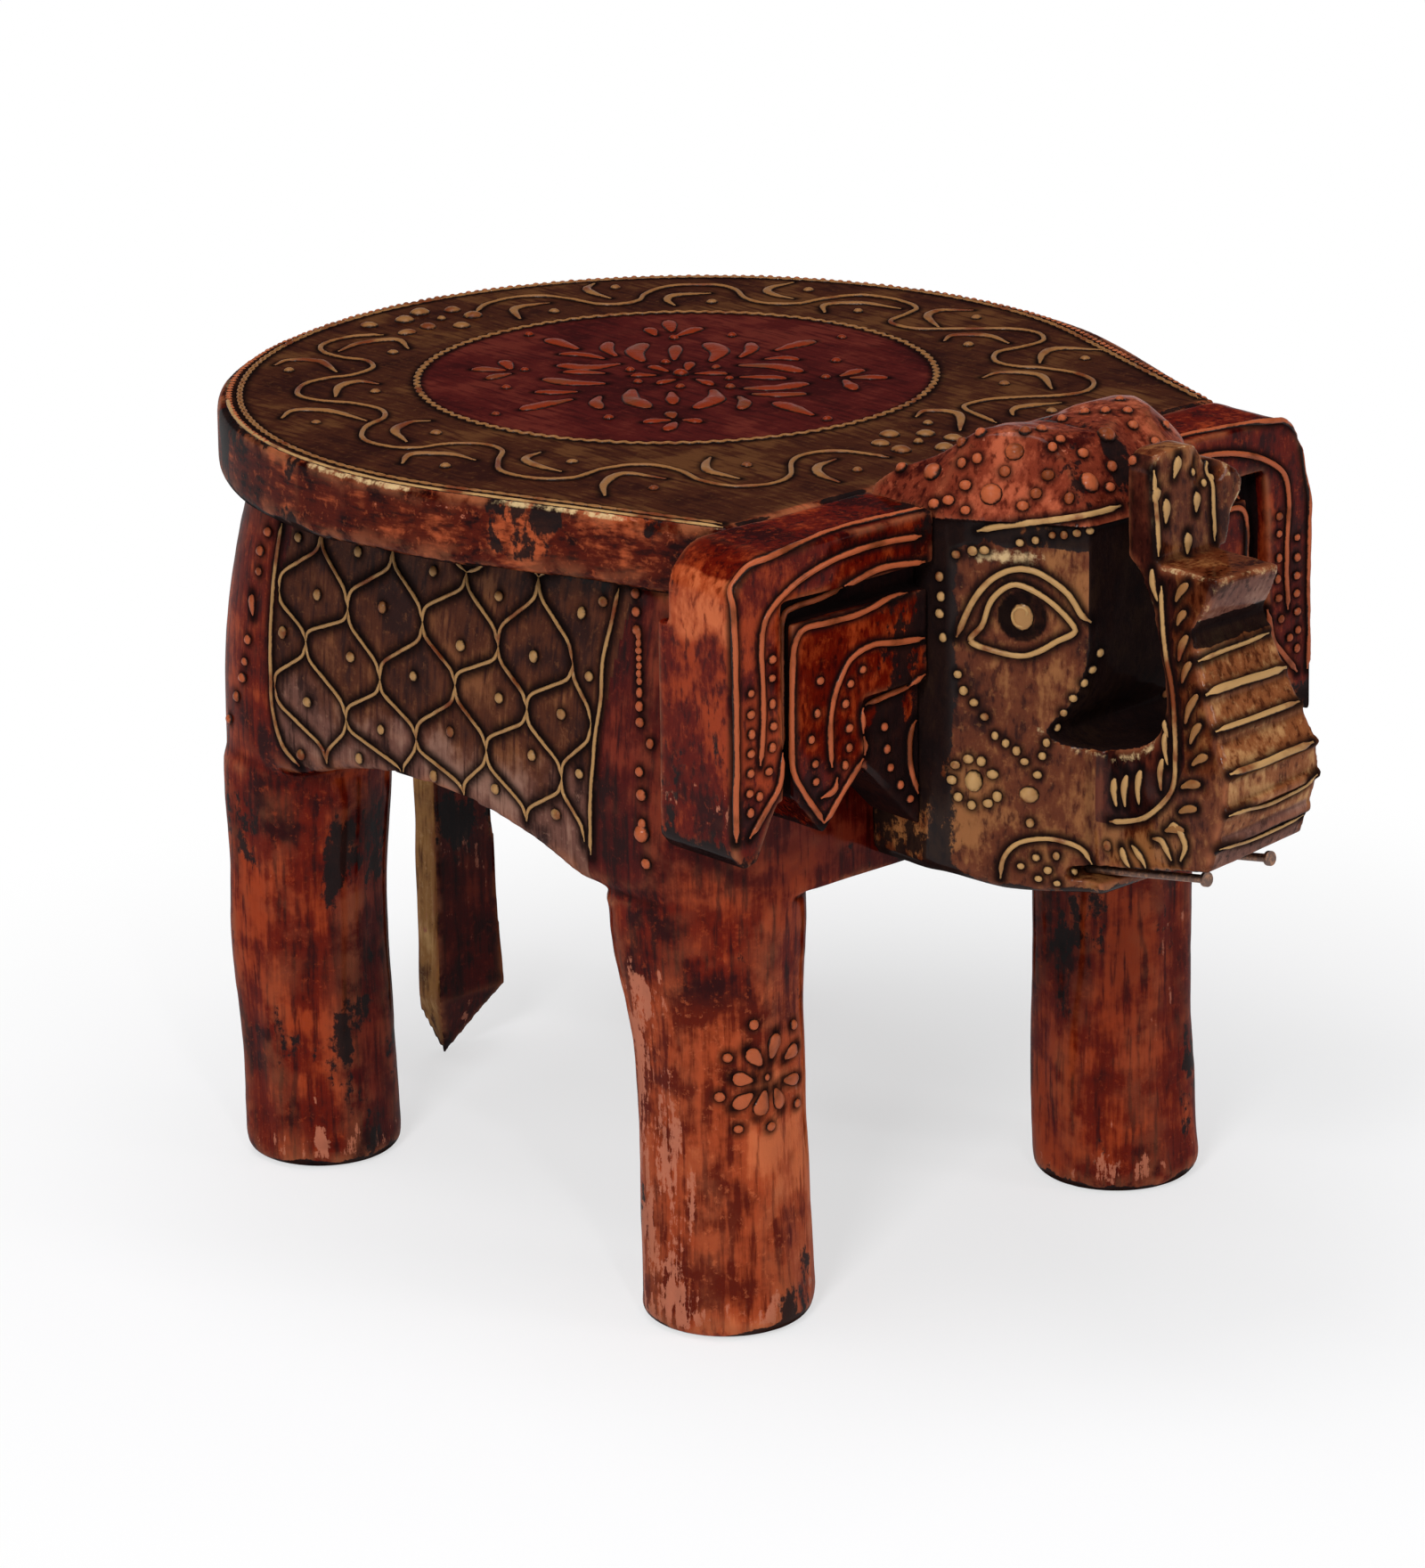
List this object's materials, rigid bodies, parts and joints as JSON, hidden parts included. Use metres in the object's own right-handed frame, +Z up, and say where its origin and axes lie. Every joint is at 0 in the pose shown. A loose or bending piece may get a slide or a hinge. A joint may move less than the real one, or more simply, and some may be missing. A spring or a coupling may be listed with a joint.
{
  "type": "carved elephant stool",
  "caption": "Low wooden stool carved as an elephant: round painted seat, block body on round legs, pleated ears, raised ribbed trunk and hanging tail.",
  "frame": {"origin": "centre of the whole stool's outline on the floor, under the middle between the trunk's foremost rib and the back of the seat", "axes": "+Z up, the elephant faces -Y, its left side is +X"},
  "size_m": [0.2032, 0.2856, 0.1987],
  "materials": {
    "seat_lacquer": "olive-brown and maroon painted hardwood with gold paste ornament under gloss lacquer",
    "body_lacquer": "red-brown and olive painted hardwood with raised gold lattice, gloss lacquer",
    "leg_lacquer": "worn copper-red paint over dark hardwood, gloss lacquer",
    "head_lacquer": "antique gold paint over dark carved hardwood, gloss lacquer",
    "ear_lacquer": "deep red-brown paint with copper lines over carved hardwood, gloss lacquer",
    "dowel_wood": "bare turned hardwood",
    "nail_steel": "old wire nail, dull and stained"
  },
  "bodies": {
    "root": {"seat_board": "seat_lacquer", "body_block": "body_lacquer", "front_left_leg": "leg_lacquer", "front_right_leg": "leg_lacquer", "rear_left_leg": "leg_lacquer", "rear_right_leg": "leg_lacquer", "head_and_trunk": "head_lacquer", "left_ear": "ear_lacquer", "right_ear": "ear_lacquer", "tail": "leg_lacquer", "leg_dowels": "dowel_wood", "seat_dowels": "dowel_wood", "head_dowels": "dowel_wood", "ear_dowels": "dowel_wood", "tail_dowel": "dowel_wood", "tusk_nails": "nail_steel"}
  },
  "joints": []
}
